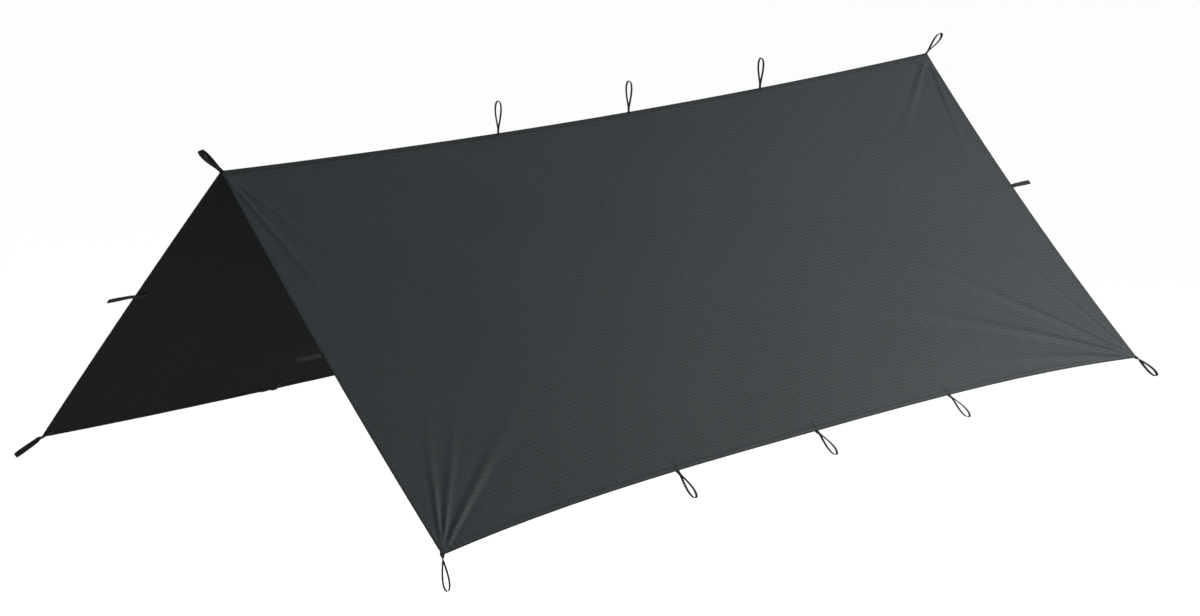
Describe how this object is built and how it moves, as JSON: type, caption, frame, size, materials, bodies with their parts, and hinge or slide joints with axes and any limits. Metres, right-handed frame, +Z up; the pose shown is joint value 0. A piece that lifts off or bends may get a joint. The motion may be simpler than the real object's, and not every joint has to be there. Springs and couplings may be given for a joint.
{
  "type": "tarp shelter",
  "caption": "Ripstop tarp pitched as an open-ended A-frame shelter, its two panels hinged at the ridge, with hems and webbing tie-out loops along every edge.",
  "frame": {"origin": "middle of the straight line between the two ends of the ridge, where the ridge line would run", "axes": "+X along the ridge towards its right end, the front panel falls towards -Y, +Z up"},
  "size_m": [3.7377, 2.2416, 1.2492],
  "materials": {
    "ripstop_cloth": "charcoal grey ripstop, coated, with a soft sheen",
    "hem_cloth": "folded hem of the same cloth",
    "patch_cloth": "second layer of the same cloth, a little lighter",
    "webbing": "woven polyester tape, near black"
  },
  "bodies": {
    "ridge": {"ridge_seam": "hem_cloth", "ridge_left_end_tab": "webbing", "ridge_left_tab": "webbing", "ridge_middle_tab": "webbing", "ridge_right_tab": "webbing", "ridge_right_end_tab": "webbing"},
    "front_panel": {"front_panel": "ripstop_cloth", "front_bottom_hem": "hem_cloth", "front_left_hem": "hem_cloth", "front_right_hem": "hem_cloth", "front_left_bottom_patch": "patch_cloth", "front_left_top_patch": "patch_cloth", "front_left_corner_tab": "webbing", "front_left_gable_tab": "webbing", "front_right_bottom_patch": "patch_cloth", "front_right_top_patch": "patch_cloth", "front_right_corner_tab": "webbing", "front_right_gable_tab": "webbing", "front_left_bottom_tab": "webbing", "front_middle_bottom_tab": "webbing", "front_right_bottom_tab": "webbing"},
    "back_panel": {"back_panel": "ripstop_cloth", "back_bottom_hem": "hem_cloth", "back_left_hem": "hem_cloth", "back_right_hem": "hem_cloth", "back_left_bottom_patch": "patch_cloth", "back_left_top_patch": "patch_cloth", "back_left_corner_tab": "webbing", "back_left_gable_tab": "webbing", "back_right_bottom_patch": "patch_cloth", "back_right_top_patch": "patch_cloth", "back_right_corner_tab": "webbing", "back_right_gable_tab": "webbing", "back_left_bottom_tab": "webbing", "back_middle_bottom_tab": "webbing", "back_right_bottom_tab": "webbing"},
    "ridge_left_end_loop": {"ridge_left_end_loop": "webbing"},
    "ridge_left_loop": {"ridge_left_loop": "webbing"},
    "ridge_middle_loop": {"ridge_middle_loop": "webbing"},
    "ridge_right_loop": {"ridge_right_loop": "webbing"},
    "ridge_right_end_loop": {"ridge_right_end_loop": "webbing"},
    "front_left_corner_loop": {"front_left_corner_loop": "webbing"},
    "front_left_gable_loop": {"front_left_gable_loop": "webbing"},
    "front_right_corner_loop": {"front_right_corner_loop": "webbing"},
    "front_right_gable_loop": {"front_right_gable_loop": "webbing"},
    "front_left_bottom_loop": {"front_left_bottom_loop": "webbing"},
    "front_middle_bottom_loop": {"front_middle_bottom_loop": "webbing"},
    "front_right_bottom_loop": {"front_right_bottom_loop": "webbing"},
    "back_left_corner_loop": {"back_left_corner_loop": "webbing"},
    "back_left_gable_loop": {"back_left_gable_loop": "webbing"},
    "back_right_corner_loop": {"back_right_corner_loop": "webbing"},
    "back_right_gable_loop": {"back_right_gable_loop": "webbing"},
    "back_left_bottom_loop": {"back_left_bottom_loop": "webbing"},
    "back_middle_bottom_loop": {"back_middle_bottom_loop": "webbing"},
    "back_right_bottom_loop": {"back_right_bottom_loop": "webbing"}
  },
  "joints": [
    {"name": "front_panel_pitch", "type": "hinge", "parent": "ridge", "child": "front_panel", "pos_m": [0, 0, 0], "axis": [1, 0, 0], "range_deg": [-60, 12]},
    {"name": "back_panel_pitch", "type": "hinge", "parent": "ridge", "child": "back_panel", "pos_m": [0, 0, 0], "axis": [1, 0, 0], "range_deg": [-12, 60]},
    {"name": "ridge_left_end_loop_swing", "type": "hinge", "parent": "ridge", "child": "ridge_left_end_loop", "pos_m": [-1.75148, 0, 0.0022], "axis": [0.3359, -0.8658, 0.371], "range_deg": [-80, 80]},
    {"name": "ridge_left_loop_swing", "type": "hinge", "parent": "ridge", "child": "ridge_left_loop", "pos_m": [-0.54246, 0, -0.02697], "axis": [0.4189, 0.908, -0.0084], "range_deg": [-80, 80]},
    {"name": "ridge_middle_loop_swing", "type": "hinge", "parent": "ridge", "child": "ridge_middle_loop", "pos_m": [0.09456, 0, -0.03004], "axis": [0.4187, 0.908, -0.0126], "range_deg": [-80, 80]},
    {"name": "ridge_right_loop_swing", "type": "hinge", "parent": "ridge", "child": "ridge_right_loop", "pos_m": [0.78762, 0, -0.02346], "axis": [0.4177, 0.9082, -0.0251], "range_deg": [-80, 80]},
    {"name": "ridge_right_end_loop_swing", "type": "hinge", "parent": "ridge", "child": "ridge_right_end_loop", "pos_m": [1.7516, 0, 0.00206], "axis": [-0.2239, -0.9278, 0.2985], "range_deg": [-80, 80]},
    {"name": "front_left_corner_loop_swing", "type": "hinge", "parent": "front_panel", "child": "front_left_corner_loop", "pos_m": [-1.7633, -1.02554, -1.05571], "axis": [-0.3757, -0.8442, 0.3824], "range_deg": [-80, 58]},
    {"name": "front_left_gable_loop_swing", "type": "hinge", "parent": "front_panel", "child": "front_left_gable_loop", "pos_m": [-1.75828, -0.48361, -0.52007], "axis": [0, -0.6972, -0.7169], "range_deg": [-80, 80]},
    {"name": "front_right_corner_loop_swing", "type": "hinge", "parent": "front_panel", "child": "front_right_corner_loop", "pos_m": [1.76426, -1.02561, -1.0552], "axis": [-0.271, -0.9206, 0.2811], "range_deg": [-80, 80]},
    {"name": "front_right_gable_loop_swing", "type": "hinge", "parent": "front_panel", "child": "front_right_gable_loop", "pos_m": [1.74596, -0.435, -0.4697], "axis": [0, -0.6972, -0.7169], "range_deg": [-80, 80]},
    {"name": "front_left_bottom_loop_swing", "type": "hinge", "parent": "front_panel", "child": "front_left_bottom_loop", "pos_m": [-0.68757, -0.98506, -1.01281], "axis": [0.941, 0.2308, -0.2475], "range_deg": [-80, 80]},
    {"name": "front_middle_bottom_loop_swing", "type": "hinge", "parent": "front_panel", "child": "front_middle_bottom_loop", "pos_m": [0, -0.98251, -1.0099], "axis": [0.9422, 0.2017, -0.2677], "range_deg": [-80, 80]},
    {"name": "front_right_bottom_loop_swing", "type": "hinge", "parent": "front_panel", "child": "front_right_bottom_loop", "pos_m": [0.7052, -0.98542, -1.01279], "axis": [0.9428, 0.1912, -0.2731], "range_deg": [-80, 80]},
    {"name": "back_left_corner_loop_swing", "type": "hinge", "parent": "back_panel", "child": "back_left_corner_loop", "pos_m": [-1.76432, 1.02583, -1.05498], "axis": [-0.448, 0.3364, 0.8283], "range_deg": [-80, 80]},
    {"name": "back_left_gable_loop_swing", "type": "hinge", "parent": "back_panel", "child": "back_left_gable_loop", "pos_m": [-1.77146, 0.45175, -0.47015], "axis": [0, 0.6972, -0.7169], "range_deg": [-80, 80]},
    {"name": "back_right_corner_loop_swing", "type": "hinge", "parent": "back_panel", "child": "back_right_corner_loop", "pos_m": [1.76432, 1.02583, -1.05498], "axis": [0.448, 0.3364, 0.8283], "range_deg": [-80, 80]},
    {"name": "back_right_gable_loop_swing", "type": "hinge", "parent": "back_panel", "child": "back_right_gable_loop", "pos_m": [1.74596, 0.44339, -0.46154], "axis": [0, 0.6972, -0.7169], "range_deg": [-80, 80]},
    {"name": "back_left_bottom_loop_swing", "type": "hinge", "parent": "back_panel", "child": "back_left_bottom_loop", "pos_m": [-0.7052, 1.04961, -1.07766], "axis": [0.9599, 0.0487, 0.276], "range_deg": [-60, 60]},
    {"name": "back_middle_bottom_loop_swing", "type": "hinge", "parent": "back_panel", "child": "back_middle_bottom_loop", "pos_m": [0, 1.05121, -1.07923], "axis": [0.9618, 0.0381, 0.2709], "range_deg": [-60, 60]},
    {"name": "back_right_bottom_loop_swing", "type": "hinge", "parent": "back_panel", "child": "back_right_bottom_loop", "pos_m": [0.7052, 1.0496, -1.07769], "axis": [0.959, 0.0541, 0.2783], "range_deg": [-60, 60]}
  ]
}
